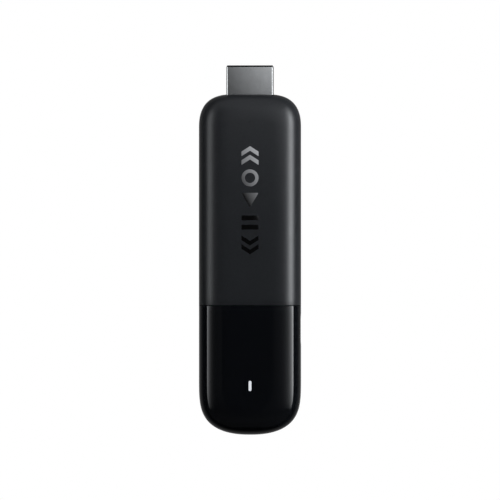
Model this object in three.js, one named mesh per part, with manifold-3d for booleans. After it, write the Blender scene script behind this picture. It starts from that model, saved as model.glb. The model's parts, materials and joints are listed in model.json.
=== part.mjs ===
// Streaming media stick: a soft pebble-shaped housing with a video plug on its top end.
//
// Frame, in millimetres: +Z runs up along the plug, -Y is the front face and +X is the right side seen from
// the front. The origin is on the plug's axis, where the plug leaves the top end of the housing.
//
// The housing is a matte front cover, a glossy lower front cover with a status light, and a matte rear cover.
// Inside are the board with its chips, shield, heat spreader, antennas, power socket and two screws.

import * as THREE from "three";
import { mergeVertices } from "three/addons/utils/BufferGeometryUtils.js";
import Module from "manifold-3d";

const wasm = await Module();
wasm.setup();

// ---------------------------------------------------------------- driving dimensions

// Housing, outside.
const BODY_WIDTH = 30;
const BODY_DEPTH = 15.4;
const BODY_LENGTH = 100.2;
const EDGE_ROLL = 8.5; // width of the rounded edge between the flat face and the widest line
const FLAT_TOP_CURVE = 1.3; // how far the flat face's own top end curves
const FLAT_BOTTOM_CURVE = 8.7; // and its bottom end
const GLOSS_LENGTH = 38; // from the bottom end up to the seam across the front

// Superellipse powers: 2 is an ellipse, and a larger one is squarer.
const TOP_POWER = { across: 4.1, along: 2.34 };
const BOTTOM_POWER = { across: 2.32, along: 3.9 };
const EDGE_POWER = { across: 2.4, deep: 2.5 };

// Housing, walls and joints.
const WALL = 1.4;
const SEAM = 0.15; // gap that shows between two covers
const LIP_DEPTH = 1.2; // how far the front covers' lip reaches past the parting line
const LIP_CLEARANCE = 0.1;
const FLANGE_LENGTH = 2; // how far the gloss cover reaches up under the front cover
const HOOK = { length: 4, thickness: 0.7, reach: 3, barb: 0.35, barbHeight: 0.8, clearance: 0.15, root: 2 };
const TOP_HOOK = 20; // below the top end
const MIDDLE_HOOK = 12; // above the seam across the front
const BOTTOM_HOOK = 17.3; // above the bottom end
const SHELF_THICKNESS = 1.2; // ribs that the board's edges rest near
const SHELF_OVERLAP = 1; // how far a rib reaches under the board
const TOP_SHELF = 26; // below the top end
const MIDDLE_SHELF = 5; // above the seam across the front
const BOTTOM_SHELF = 26; // above the bottom end

// Gaps between neighbours.
const SOLDER_GAP = 0.05; // under a part soldered to the board
const CONTACT_GAP = 0.05; // between two faces pressed together
const LOOSE_GAP = 0.2; // round a part that drops into place

// Video plug, type A: the wide face looks forward and the corners of the rear face are cut off.
const PLUG = { width: 13.9, height: 4.45, wall: 0.35, corner: 0.6, cutWidth: 1.35, cutHeight: 1.5 };
const PLUG_LENGTH = 8.35; // beyond the housing
const PLUG_TAIL = 6.4; // inside the housing
const PLUG_RIM = { height: 0.6, inset: 0.3 }; // how the shell's rim turns in at its tip
const PLUG_RECESS = 0.45; // insulator behind the shell's rim
const PLUG_WINDOW = { width: 1.8, height: 2.4, x: 3.5, belowTip: 5.2 }; // latch windows, rear face
const PLUG_SLOT = { width: 11.7, height: 1.9, depth: 7.2, offset: -0.2 };
const PLUG_FLANGE = { beside: 1.65, above: 0.675, thickness: 0.5, at: 4, corner: 1 };
const PLUG_TAB = { width: 1.4, thickness: 0.35, onBoard: 1.9 };
const PLUG_PINS = 19;
const PIN = {
  width: 0.32,
  thickness: 0.22,
  pitch: 0.5,
  proud: 0.08, // of the slot's wall
  clearance: 0.05,
  behindTip: 0.5, // below the insulator's end
  straight: 0.3, // beyond the insulator's back
  bend: 0.9,
  tail: 2.2, // soldered to the board
};

// Board.
const BOARD_THICKNESS = 1;
const BOARD_TOP = 8; // below the housing's top end
const BOARD_GAP = 0.2; // to the covers' hooks
const SCREW = { shank: 0.8, head: 1.5, headHeight: 0.9, length: 4.2, recess: 0.45 };
const SCREW_INSET = 1.85; // from the board's edge
const BOTTOM_SCREW = 21; // above the bottom end
const BOSS_RADIUS = 2.1;
const POST_RADIUS = 1.5;
const LOCATING_PIN_RADIUS = 0.75;

// Shielded processor group, on the front of the board.
const SHIELD = { belowScrew: 0.8, height: 2, wall: 0.3, margin: 2, lid: 0.3, skirt: 0.9, corner: 0.6 };
const VENT = { count: 5, radius: 0.6, pitch: 2.4 }; // holes in the lid
const PROCESSOR = { width: 14, length: 14, height: 1.2, corner: 0.3 };
const FLASH = { width: 11.5, length: 13, height: 1, corner: 0.3 };
const CHIP_SPACING = 0.95; // between the shielded chips, and from them to the shield
const SPREADER = { length: 40, thickness: 1.2, top: 11, overhang: 2, corner: 2 };
const TAPE_MARGIN = 2; // from the spreader's edge to the tape that holds it to the front cover
const PAD_MARGIN = 1;

// Rear of the board.
const MEMORY = { width: 10, length: 12, height: 0.9, corner: 0.2, top: 15.5 };
const POWER_CHIP = { width: 5, length: 5, height: 0.85, corner: 0.2, belowMemory: 1 };
const RADIO = { width: 12, length: 12, base: 0.7, can: 1.3, rim: 0.5, corner: 0.4, up: 43, edge: 1.2 };
const CHIP_GAP = 0.7; // between the small parts beside a chip
const INDUCTOR = { width: 4, length: 4, height: 2, corner: 0.8 };
const CRYSTAL = { width: 2.5, length: 3.2, height: 0.8, corner: 0.4 };
const CAPACITOR = { width: 1.6, length: 3.2, height: 1.6, corner: 0.15 };

// Power socket, type C, sunk into a notch in the board's right edge.
const SOCKET = { width: 8.94, height: 3.16, wall: 0.3, depth: 8, up: 31, recess: 1 };
const SOCKET_TONGUE = { width: 6.69, thickness: 0.7, length: 5, root: 2.2 };
const SOCKET_TAB = { width: 1.2, length: 2, thickness: 0.3, inset: 3.5 };
const SOCKET_PINS = 12;
const SOCKET_PIN = { width: 0.25, pitch: 0.5, thickness: 0.08, gap: 0.02, bar: 0.5, length: 4.4 };

// Status light.
const LIGHT_UP = 14.45; // centre, above the bottom end
const LIGHT_SLOT = { width: 0.74, length: 2.9, clearance: 0.05 };
const LIGHT_FLANGE = { width: 3.4, length: 6, thickness: 0.75 };
const LIGHT_GUIDE = { width: 1.8, length: 3.8 };
const LIGHT_GASKET_WALL = 0.8;
const LED = { width: 0.8, length: 1.6, height: 0.6 };

// Antennas, stamped from thin plate, each side of the light.
const ANTENNA = { length: 9, height: 3.2, foot: 1.6, thickness: 0.25, inset: 4.2, up: 16.5, leg: 1.2 };

// How finely round shapes are cut.
const OUTLINE_STEPS = { top: 11, bottom: 14 };
const EDGE_STEPS = 7;
const INNER_OUTLINE_STEPS = { top: 8, bottom: 9 };
const INNER_EDGE_STEPS = 4;
const CIRCLE_STEPS = 20;
const CORNER_STEPS = 4;
const SMALLEST_CORNER = 0.15;

// ---------------------------------------------------------------- places worked out from them

const HALF_WIDTH = BODY_WIDTH / 2;
const HALF_DEPTH = BODY_DEPTH / 2;
const TOP_REACH = EDGE_ROLL + FLAT_TOP_CURVE;
const BOTTOM_REACH = EDGE_ROLL + FLAT_BOTTOM_CURVE;
const SEAM_Z = GLOSS_LENGTH - BODY_LENGTH;
const INNER_DEPTH = HALF_DEPTH - WALL;
const BOARD_FACE = BOARD_THICKNESS / 2;
const FRONT = -1; // sides of the board: the front face looks towards -Y
const REAR = 1;
const FAR = 200; // larger than the object, for cutting blocks

// Half-width of the cavity at a distance from the middle plane.
const cavityHalfWidth = (y) =>
  HALF_WIDTH -
  EDGE_ROLL +
  (EDGE_ROLL - WALL) *
    Math.pow(1 - Math.pow(Math.abs(y) / INNER_DEPTH, EDGE_POWER.deep), 1 / EDGE_POWER.across);

const HOOK_OUTSIDE = cavityHalfWidth(HOOK.reach) - HOOK.clearance;
const BOARD_HALF_WIDTH = HOOK_OUTSIDE - HOOK.thickness - BOARD_GAP;
const BOARD_INSET = HALF_WIDTH - BOARD_HALF_WIDTH;
const SCREW_X = BOARD_HALF_WIDTH - SCREW_INSET;
const TOP_SCREW = BOARD_TOP + PLUG_TAB.onBoard + LOOSE_GAP + BOSS_RADIUS; // below the top end
const above = (distance) => distance - BODY_LENGTH; // height of a point above the bottom end
const SOCKET_Z = above(SOCKET.up);
const SOCKET_MOUTH = HALF_WIDTH - SOCKET.recess;
const SOCKET_BACK = SOCKET_MOUTH - SOCKET.depth;
const SOCKET_NOTCH = SOCKET_BACK - LOOSE_GAP; // inner edge of the board's notch
const LIGHT_Z = above(LIGHT_UP);

// ---------------------------------------------------------------- solids

// A closed geometry as a solid that can be joined and cut.
function solid(geometry) {
  const plain = geometry.index ? geometry.toNonIndexed() : geometry.clone();
  for (const name of Object.keys(plain.attributes)) {
    if (name !== "position") plain.deleteAttribute(name);
  }
  const merged = mergeVertices(plain, 1e-4);
  return new wasm.Manifold(
    new wasm.Mesh({
      numProp: 3,
      vertProperties: new Float32Array(merged.attributes.position.array),
      triVerts: new Uint32Array(merged.index.array),
    }),
  );
}

const join = (first, ...others) => others.reduce((whole, piece) => whole.add(piece), first);
const cut = (first, ...others) => others.reduce((whole, piece) => whole.subtract(piece), first);

// Two values in rising order.
const span = (a, b) => [Math.min(a, b), Math.max(a, b)];

// A block between two corners.
function block([x0, x1], [y0, y1], [z0, z1]) {
  const geometry = new THREE.BoxGeometry(x1 - x0, y1 - y0, z1 - z0);
  return solid(geometry.translate((x0 + x1) / 2, (y0 + y1) / 2, (z0 + z1) / 2));
}

// An outline pushed along an axis. The outline is drawn in (x, y) for z, (y, z) for x and (x, z) for y.
const AXES = {
  x: [new THREE.Vector3(0, 1, 0), new THREE.Vector3(0, 0, 1), new THREE.Vector3(1, 0, 0)],
  y: [new THREE.Vector3(1, 0, 0), new THREE.Vector3(0, 0, 1), new THREE.Vector3(0, -1, 0)],
  z: [new THREE.Vector3(1, 0, 0), new THREE.Vector3(0, 1, 0), new THREE.Vector3(0, 0, 1)],
};
function extrude(shape, axis, from, to, curveSegments = CORNER_STEPS) {
  const options = { depth: to - from, bevelEnabled: false, steps: 1, curveSegments };
  const geometry = new THREE.ExtrudeGeometry(shape, options);
  const [u, v, w] = AXES[axis];
  const start = w.clone().multiplyScalar(axis === "y" ? -to : from);
  return solid(geometry.applyMatrix4(new THREE.Matrix4().makeBasis(u, v, w).setPosition(start)));
}

// A rectangle with round corners.
function roundedRectangle(width, height, radius, x = 0, y = 0) {
  const [w, h, r] = [width / 2, height / 2, Math.min(radius, width / 2 - 1e-3, height / 2 - 1e-3)];
  const quarter = Math.PI / 2;
  return new THREE.Shape()
    .moveTo(x + w - r, y - h)
    .absarc(x + w - r, y - h + r, r, -quarter, 0)
    .absarc(x + w - r, y + h - r, r, 0, quarter)
    .absarc(x - w + r, y + h - r, r, quarter, 2 * quarter)
    .absarc(x - w + r, y - h + r, r, 2 * quarter, 3 * quarter);
}

const polygon = (points) => new THREE.Shape(points.map(([x, y]) => new THREE.Vector2(x, y)));

// A round bar along y.
const bar = (radius, x, z, from, to, steps = CIRCLE_STEPS) =>
  solid(
    new THREE.CylinderGeometry(radius, radius, to - from, steps).translate(x, (from + to) / 2, z),
  );

// A block that stands on the board: side says which face, and height is measured from that face.
function onBoard(side, shape, height) {
  const near = BOARD_FACE + SOLDER_GAP;
  return extrude(shape, "y", ...span(side * near, side * (near + height)));
}

// ---------------------------------------------------------------- housing form

// The outline's right half, seen from the front, from the top centre round to the bottom centre.
// A smaller copy of it lies a given inset inside.
function endPoint(end, angle, inset) {
  const half = HALF_WIDTH - inset;
  const power = end === "top" ? TOP_POWER : BOTTOM_POWER;
  const reach = (end === "top" ? TOP_REACH : BOTTOM_REACH) - inset;
  const x = half * Math.pow(Math.max(0, Math.cos(angle)), 2 / power.across);
  const out = reach * Math.pow(Math.max(0, Math.sin(angle)), 2 / power.along);
  return new THREE.Vector2(x, end === "top" ? out - TOP_REACH : BOTTOM_REACH - BODY_LENGTH - out);
}

// Angles that divide one end's quarter of the outline into equal lengths, from the side to the tip.
function evenAngles(end, steps) {
  class Quarter extends THREE.Curve {
    getPoint(t) {
      const point = endPoint(end, (t * Math.PI) / 2, 0);
      return new THREE.Vector3(point.x, point.y, 0);
    }
  }
  const curve = new Quarter();
  curve.arcLengthDivisions = 2000;
  return Array.from(
    { length: steps + 1 },
    (_, i) => (curve.getUtoTmapping(i / steps) * Math.PI) / 2,
  );
}

// Stations round the right half: which end each belongs to, and its angle.
function stations(steps) {
  const top = evenAngles("top", steps.top).map((angle) => ({ end: "top", angle }));
  const bottom = evenAngles("bottom", steps.bottom).map((angle) => ({ end: "bottom", angle }));
  return [...top.reverse(), ...bottom];
}

// The closed pebble, a given inset inside the housing's skin. The flat faces end on a core outline,
// and from there each ring steps out and down to the widest line.
function pebble(inset, outlineSteps = OUTLINE_STEPS, edgeSteps = EDGE_STEPS) {
  const half = stations(outlineSteps);
  const right = half.map(({ end, angle }) => ({
    core: endPoint(end, angle, EDGE_ROLL),
    skin: endPoint(end, angle, inset),
  }));
  const mirrored = right
    .slice(1, -1)
    .reverse()
    .map(({ core, skin }) => ({
      core: new THREE.Vector2(-core.x, core.y),
      skin: new THREE.Vector2(-skin.x, skin.y),
    }));
  const round = [...right, ...mirrored];
  const count = round.length;
  const depth = HALF_DEPTH - inset;
  const points = [];
  const faces = [];
  const quad = (a, b, c, d) => faces.push(a, b, c, a, c, d);

  // Rings run from the front face's core to the widest line, then on to the rear face's core.
  for (let ring = -edgeSteps; ring <= edgeSteps; ring++) {
    const angle = (Math.PI / 2) * (1 - Math.abs(ring) / edgeSteps);
    const out = Math.pow(Math.sin(angle), 2 / EDGE_POWER.across);
    const y = Math.sign(ring) * depth * Math.pow(Math.abs(Math.cos(angle)), 2 / EDGE_POWER.deep);
    for (const { core, skin } of round) {
      const place = core.clone().lerp(skin, out);
      points.push(place.x, ring === 0 ? 0 : y, place.y);
    }
  }
  for (let ring = 0; ring < 2 * edgeSteps; ring++) {
    for (let i = 0; i < count; i++) {
      const next = (i + 1) % count;
      quad(ring * count + i, ring * count + next, (ring + 1) * count + next, (ring + 1) * count + i);
    }
  }
  // Flat faces: strips across from the right half to its mirror, narrowing to a point at both ends.
  const rear = 2 * edgeSteps * count;
  for (let i = 0; i < half.length - 1; i++) {
    const left = (count - i) % count;
    const leftNext = (count - i - 1) % count;
    if (left !== i) {
      faces.push(i, left, leftNext);
      faces.push(rear + i, rear + leftNext, rear + left);
    }
    if (leftNext !== i + 1) {
      faces.push(i, leftNext, i + 1);
      faces.push(rear + i, rear + i + 1, rear + leftNext);
    }
  }
  return solid(
    new THREE.BufferGeometry()
      .setAttribute("position", new THREE.Float32BufferAttribute(points, 3))
      .setIndex(faces),
  );
}

// ---------------------------------------------------------------- video plug

// The plug's section, with every side moved out by an offset.
function plugSection(offset = 0) {
  const slope = Math.atan2(PLUG.cutHeight, PLUG.cutWidth);
  const w = PLUG.width / 2 + offset;
  const h = PLUG.height / 2 + offset;
  const rear = PLUG.width / 2 - PLUG.cutWidth + offset * Math.tan(slope / 2);
  const shoulder = PLUG.height / 2 - PLUG.cutHeight + offset * Math.tan(Math.PI / 4 - slope / 2);
  const r = Math.max(SMALLEST_CORNER, PLUG.corner + offset);
  const turn = Math.PI / 2;
  return new THREE.Shape()
    .moveTo(rear, h)
    .lineTo(-rear, h)
    .lineTo(-w, shoulder)
    .absarc(-w + r, -h + r, r, 2 * turn, 3 * turn)
    .absarc(w - r, -h + r, r, 3 * turn, 4 * turn)
    .lineTo(w, shoulder);
}

const FLANGE_WIDTH = PLUG.width + 2 * PLUG_FLANGE.beside;
const plugFlange = (room) =>
  extrude(
    roundedRectangle(
      FLANGE_WIDTH + 2 * room,
      PLUG.height + 2 * PLUG_FLANGE.above + 2 * room,
      PLUG_FLANGE.corner,
    ),
    "z",
    -PLUG_FLANGE.at - PLUG_FLANGE.thickness - room,
    -PLUG_FLANGE.at + room,
  );

function plugShell() {
  const rim = new THREE.ExtrudeGeometry(plugSection(), {
    depth: PLUG_TAIL + PLUG_LENGTH - 2 * PLUG_RIM.height,
    steps: 1,
    bevelThickness: PLUG_RIM.height,
    bevelSize: PLUG_RIM.inset,
    bevelOffset: -PLUG_RIM.inset,
    bevelSegments: 2,
    curveSegments: CORNER_STEPS,
  });
  const windows = [-1, 1].map((side) =>
    block(
      [side * PLUG_WINDOW.x - PLUG_WINDOW.width / 2, side * PLUG_WINDOW.x + PLUG_WINDOW.width / 2],
      [PLUG.height / 2 - 2 * PLUG.wall, FAR],
      [
        PLUG_LENGTH - PLUG_WINDOW.belowTip - PLUG_WINDOW.height / 2,
        PLUG_LENGTH - PLUG_WINDOW.belowTip + PLUG_WINDOW.height / 2,
      ],
    ),
  );
  const tube = cut(
    solid(rim.translate(0, 0, PLUG_RIM.height - PLUG_TAIL)),
    extrude(plugSection(-PLUG.wall), "z", -FAR, FAR),
    ...windows,
  );
  const plate = cut(plugFlange(0), extrude(plugSection(-PLUG.wall), "z", -FAR, FAR));
  const tabs = [];
  for (const x of [-1, 1]) {
    for (const side of [FRONT, REAR]) {
      const near = BOARD_FACE + SOLDER_GAP;
      tabs.push(
        block(
          span(x * (FLANGE_WIDTH / 2 - PLUG_TAB.width), (x * FLANGE_WIDTH) / 2),
          span(side * near, side * (near + PLUG_TAB.thickness)),
          [-BOARD_TOP - PLUG_TAB.onBoard, -PLUG_FLANGE.at - PLUG_FLANGE.thickness / 2],
        ),
      );
    }
  }
  return join(tube, plate, ...tabs);
}

// Each pin: which wall of the slot it lies on, and its place across.
const SLOT_WALL = {
  [FRONT]: PLUG_SLOT.offset - PLUG_SLOT.height / 2,
  [REAR]: PLUG_SLOT.offset + PLUG_SLOT.height / 2,
};
const pins = Array.from({ length: PLUG_PINS }, (_, i) => ({
  side: i % 2 ? REAR : FRONT,
  x: (i - (PLUG_PINS - 1) / 2) * PIN.pitch,
}));

// A pin's profile: it lies in the slot's wall, steps towards the board behind the insulator, and ends
// in a tail.
function plugPin({ side, x }) {
  const inner = SLOT_WALL[side] - side * PIN.proud;
  const outer = inner + side * PIN.thickness;
  const tip = PLUG_LENGTH - PLUG_RECESS - PIN.behindTip;
  const back = -PLUG_TAIL - PIN.straight;
  const tailInner = side * (BOARD_FACE + SOLDER_GAP);
  const tailOuter = tailInner + side * PIN.thickness;
  const end = -BOARD_TOP - PIN.tail;
  const outline = polygon([
    [inner, tip],
    [inner, back],
    [tailInner, back - PIN.bend],
    [tailInner, end],
    [tailOuter, end],
    [tailOuter, back - PIN.bend + PIN.thickness / 2],
    [outer, back + PIN.thickness / 2],
    [outer, tip],
  ]);
  return extrude(outline, "x", x - PIN.width / 2, x + PIN.width / 2);
}

function plugInsulator() {
  const body = extrude(
    plugSection(-PLUG.wall - CONTACT_GAP),
    "z",
    -PLUG_TAIL,
    PLUG_LENGTH - PLUG_RECESS,
  );
  const mouth = PLUG_LENGTH - PLUG_RECESS;
  const slot = block(
    [-PLUG_SLOT.width / 2, PLUG_SLOT.width / 2],
    [SLOT_WALL[FRONT], SLOT_WALL[REAR]],
    [mouth - PLUG_SLOT.depth, FAR],
  );
  const grooves = pins.map(({ side, x }) => {
    const near = SLOT_WALL[side] - side * (PIN.proud + PIN.clearance);
    const far = SLOT_WALL[side] + side * (PIN.thickness - PIN.proud + PIN.clearance);
    const half = PIN.width / 2 + PIN.clearance;
    return block([x - half, x + half], span(near, far), [-FAR, FAR]);
  });
  return cut(body, slot, ...grooves);
}

// ---------------------------------------------------------------- covers

const wholeWidth = [-FAR, FAR];
const inside = (inset) => pebble(inset, INNER_OUTLINE_STEPS, INNER_EDGE_STEPS);
const cavity = inside(WALL);
const shell = cut(pebble(0), cavity);
const lipOutside = inside(WALL / 2 + LIP_CLEARANCE);
const lipBand = cut(lipOutside, cavity);
const rebate = inside(WALL / 2);

// Openings in the covers for the plug, the power socket and the light.
const plugOpening = join(
  extrude(plugSection(LOOSE_GAP), "z", -BOARD_TOP, FAR),
  plugFlange(LOOSE_GAP),
);
const socketOpening = extrude(
  roundedRectangle(
    SOCKET.height + 2 * LOOSE_GAP,
    SOCKET.width + 2 * LOOSE_GAP,
    SOCKET.height,
    0,
    SOCKET_Z,
  ),
  "x",
  SOCKET_BACK,
  FAR,
  6,
);
const lightOpening = extrude(
  roundedRectangle(
    LIGHT_SLOT.width + 2 * LIGHT_SLOT.clearance,
    LIGHT_SLOT.length + 2 * LIGHT_SLOT.clearance,
    LIGHT_SLOT.width,
    0,
    LIGHT_Z,
  ),
  "y",
  -FAR,
  0,
  6,
);

// Heights of the snap hooks on each front cover. One stands on each side.
const frontHooks = [-TOP_HOOK, SEAM_Z + MIDDLE_HOOK];
const glossHooks = [above(BOTTOM_HOOK)];

function hook(x, z) {
  const half = HOOK.length / 2;
  const outer = HOOK_OUTSIDE;
  const inner = outer - HOOK.thickness;
  const root = cavityHalfWidth(HOOK.root) + WALL / 4;
  const barbTop = HOOK.reach - HOOK.barbHeight;
  const profile = [
    [inner, -HOOK.root],
    [root, -HOOK.root],
    [root, -SEAM],
    [outer, -SEAM],
    [outer, barbTop],
    [outer + HOOK.barb, barbTop],
    [outer, HOOK.reach],
    [inner, HOOK.reach],
  ];
  return extrude(polygon(profile.map(([across, y]) => [x * across, y])), "z", z - half, z + half);
}

function hookPocket(x, z) {
  const half = HOOK.length / 2 + HOOK.clearance;
  return block(
    span(x * HOOK_OUTSIDE, x * (HOOK_OUTSIDE + HOOK.barb + HOOK.clearance)),
    [HOOK.reach - HOOK.barbHeight - HOOK.clearance, HOOK.reach + HOOK.clearance],
    [z - half, z + half],
  );
}

const frontHalf = join(
  shell.intersect(block(wholeWidth, [-FAR, -SEAM / 2], wholeWidth)),
  lipBand.intersect(block(wholeWidth, [-1, LIP_DEPTH], wholeWidth)),
);

function frontCover() {
  const upper = frontHalf.intersect(block(wholeWidth, wholeWidth, [SEAM_Z + SEAM / 2, FAR]));
  const underFlange = rebate.intersect(
    block(wholeWidth, wholeWidth, [SEAM_Z - 1, SEAM_Z + FLANGE_LENGTH + LIP_CLEARANCE]),
  );
  const hooks = frontHooks.flatMap((z) => [hook(-1, z), hook(1, z)]);
  return cut(join(cut(upper, underFlange), ...hooks), plugOpening, socketOpening);
}

function glossCover() {
  const lower = frontHalf.intersect(block(wholeWidth, wholeWidth, [-FAR, SEAM_Z - SEAM / 2]));
  const flange = lipBand.intersect(
    block(wholeWidth, [-FAR, LIP_DEPTH], [SEAM_Z - 1, SEAM_Z + FLANGE_LENGTH]),
  );
  const hooks = glossHooks.flatMap((z) => [hook(-1, z), hook(1, z)]);
  return cut(join(lower, flange, ...hooks), socketOpening, lightOpening);
}

// Screw bosses and locating pins, at opposite corners of the board.
const SCREWS = [
  { name: "board_screw_top", x: -SCREW_X, z: -TOP_SCREW },
  { name: "board_screw_bottom", x: SCREW_X, z: above(BOTTOM_SCREW) },
];
const BOSS_TOP = BOARD_FACE + CONTACT_GAP;

function rearCover() {
  const bowl = shell.intersect(block(wholeWidth, [SEAM / 2, FAR], wholeWidth));
  const lipRoom = rebate.intersect(block(wholeWidth, [-1, LIP_DEPTH + LIP_CLEARANCE], wholeWidth));
  const wallInside = inside(WALL / 2);
  const bosses = SCREWS.map(({ x, z }) => bar(BOSS_RADIUS, x, z, BOSS_TOP, HALF_DEPTH));
  const posts = SCREWS.flatMap(({ x, z }) => [
    bar(POST_RADIUS, -x, z, BOSS_TOP, HALF_DEPTH),
    bar(LOCATING_PIN_RADIUS, -x, z, -BOARD_FACE, HALF_DEPTH, 12),
  ]);
  const shelves = [-TOP_SHELF, SEAM_Z + MIDDLE_SHELF, above(BOTTOM_SHELF)].flatMap((z) =>
    [-1, 1].map((side) =>
      block(
        span(side * (BOARD_HALF_WIDTH - SHELF_OVERLAP), side * HALF_WIDTH),
        [LIP_DEPTH + 2 * LIP_CLEARANCE, HALF_DEPTH],
        [z - SHELF_THICKNESS / 2, z + SHELF_THICKNESS / 2],
      ),
    ),
  );
  const standing = join(...bosses, ...posts, ...shelves).intersect(wallInside);
  const pilots = SCREWS.map(({ x, z }) =>
    bar(SCREW.shank + CONTACT_GAP, x, z, -FAR, SCREW.length + CONTACT_GAP, 16),
  );
  const pockets = [...frontHooks, ...glossHooks].flatMap((z) => [hookPocket(-1, z), hookPocket(1, z)]);
  return cut(join(cut(bowl, lipRoom), standing), plugOpening, socketOpening, ...pilots, ...pockets);
}

// ---------------------------------------------------------------- status light

function lightPipe() {
  const back = -INNER_DEPTH + CONTACT_GAP;
  const { width, length } = LIGHT_SLOT;
  const stem = extrude(
    roundedRectangle(width, length, width, 0, LIGHT_Z),
    "y",
    -HALF_DEPTH,
    back + 0.1,
    6,
  );
  const flange = extrude(
    roundedRectangle(LIGHT_FLANGE.width, LIGHT_FLANGE.length, 0.5, 0, LIGHT_Z),
    "y",
    back,
    back + LIGHT_FLANGE.thickness,
  );
  const guide = extrude(
    roundedRectangle(LIGHT_GUIDE.width, LIGHT_GUIDE.length, 0.3, 0, LIGHT_Z),
    "y",
    back + LIGHT_FLANGE.thickness - 0.1,
    -BOARD_FACE - LED.height - 2 * LOOSE_GAP,
  );
  return join(stem, flange, guide);
}

function lightGasket() {
  const width = LIGHT_GUIDE.width + 2 * LOOSE_GAP;
  const length = LIGHT_GUIDE.length + 2 * LOOSE_GAP;
  const wall = 2 * LIGHT_GASKET_WALL;
  const top = -INNER_DEPTH + 2 * CONTACT_GAP + LIGHT_FLANGE.thickness;
  const bottom = -BOARD_FACE - SOLDER_GAP;
  return cut(
    extrude(roundedRectangle(width + wall, length + wall, 0.6, 0, LIGHT_Z), "y", top, bottom),
    extrude(roundedRectangle(width, length, 0.3, 0, LIGHT_Z), "y", -FAR, FAR),
  );
}

const statusLed = () => onBoard(FRONT, roundedRectangle(LED.width, LED.length, 0.1, 0, LIGHT_Z), LED.height);

// ---------------------------------------------------------------- board

function mainBoard() {
  const right = stations(INNER_OUTLINE_STEPS).map(({ end, angle }) => endPoint(end, angle, BOARD_INSET));
  const outline = [...right, ...right.slice(1, -1).reverse().map(({ x, y }) => new THREE.Vector2(-x, y))];
  const plate = extrude(new THREE.Shape(outline), "y", -BOARD_FACE, BOARD_FACE);
  const topCut = block(wholeWidth, wholeWidth, [-BOARD_TOP, FAR]);
  const notch = block(
    [SOCKET_NOTCH, FAR],
    wholeWidth,
    [SOCKET_Z - SOCKET.width / 2 - LOOSE_GAP, SOCKET_Z + SOCKET.width / 2 + LOOSE_GAP],
  );
  const holes = SCREWS.flatMap(({ x, z }) => [
    bar(SCREW.shank + LOOSE_GAP, x, z, -FAR, FAR, 16),
    bar(LOCATING_PIN_RADIUS + LIP_CLEARANCE, -x, z, -FAR, FAR, 16),
  ]);
  return cut(plate, topCut, notch, ...holes);
}

function boardScrew({ x, z }) {
  const face = -BOARD_FACE - SOLDER_GAP;
  const shank = bar(SCREW.shank, x, z, face - 0.1, SCREW.length, 16);
  const head = bar(SCREW.head, x, z, face - SCREW.headHeight, face);
  const arm = SCREW.head * 0.6;
  const bottom = face - SCREW.headHeight + SCREW.recess;
  const cross = [
    block([x - arm, x + arm], [-FAR, bottom], [z - 0.2, z + 0.2]),
    block([x - 0.2, x + 0.2], [-FAR, bottom], [z - arm, z + arm]),
  ];
  return cut(join(shank, head), ...cross);
}

// ---------------------------------------------------------------- shielded processor group

const SHIELD_WIDTH = 2 * (BOARD_HALF_WIDTH - SHIELD.margin);
const SHIELD_TOP = -TOP_SCREW - SCREW.head - SHIELD.belowScrew;
const SHIELD_LENGTH = PROCESSOR.length + FLASH.length + 3 * CHIP_SPACING + 2 * SHIELD.wall;
const SHIELD_Z = SHIELD_TOP - SHIELD_LENGTH / 2;
const PROCESSOR_Z = SHIELD_TOP - SHIELD.wall - CHIP_SPACING - PROCESSOR.length / 2;
const FLASH_Z = PROCESSOR_Z - PROCESSOR.length / 2 - CHIP_SPACING - FLASH.length / 2;
const LID_INSIDE = SHIELD.height + 2 * SOLDER_GAP;
const LID_TOP = -BOARD_FACE - LID_INSIDE - SHIELD.lid;
// The spreader's long edges reach over the first facet of the cavity's curve, so it stands that much back.
const FACET = Math.PI / 2 / INNER_EDGE_STEPS;
const FACET_WIDTH = (EDGE_ROLL - WALL) * Math.pow(Math.sin(FACET), 2 / EDGE_POWER.across);
const FACET_DROP = INNER_DEPTH * (1 - Math.pow(Math.cos(FACET), 2 / EDGE_POWER.deep));
const SPREADER_FRONT =
  (FACET_DROP * SPREADER.overhang) / FACET_WIDTH + CONTACT_GAP - INNER_DEPTH;
const SPREADER_BACK = SPREADER_FRONT + SPREADER.thickness;

// The shield's outline, grown or shrunk by an offset.
const shieldOutline = (offset) =>
  roundedRectangle(
    SHIELD_WIDTH + 2 * offset,
    SHIELD_LENGTH + 2 * offset,
    SHIELD.corner + offset,
    0,
    SHIELD_Z,
  );

function shieldFrame() {
  const hollow = extrude(shieldOutline(-SHIELD.wall), "y", -FAR, FAR);
  return cut(onBoard(FRONT, shieldOutline(0), SHIELD.height), hollow);
}

function shieldLid() {
  const inner = -BOARD_FACE - LID_INSIDE;
  const cap = extrude(shieldOutline(LIP_CLEARANCE + SHIELD.lid), "y", LID_TOP, inner + SHIELD.skirt);
  const vents = Array.from({ length: VENT.count }, (_, i) =>
    bar(VENT.radius, (i - (VENT.count - 1) / 2) * VENT.pitch, FLASH_Z, -FAR, FAR, 10),
  );
  return cut(cap, extrude(shieldOutline(LIP_CLEARANCE), "y", inner, FAR), ...vents);
}

// A chip on one face of the board, with its centre at x and z.
const chip = (side, { width, length, height, corner }, x, z) =>
  onBoard(side, roundedRectangle(width, length, corner, x, z), height);
const processor = () => chip(FRONT, PROCESSOR, 0, PROCESSOR_Z);
const flashChip = () => chip(FRONT, FLASH, 0, FLASH_Z);

function processorPad() {
  const side = PROCESSOR.width - 2 * PAD_MARGIN;
  return extrude(
    roundedRectangle(side, side, 0.4, 0, PROCESSOR_Z),
    "y",
    -BOARD_FACE - LID_INSIDE + CONTACT_GAP,
    -BOARD_FACE - SOLDER_GAP - PROCESSOR.height - CONTACT_GAP,
  );
}

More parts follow.
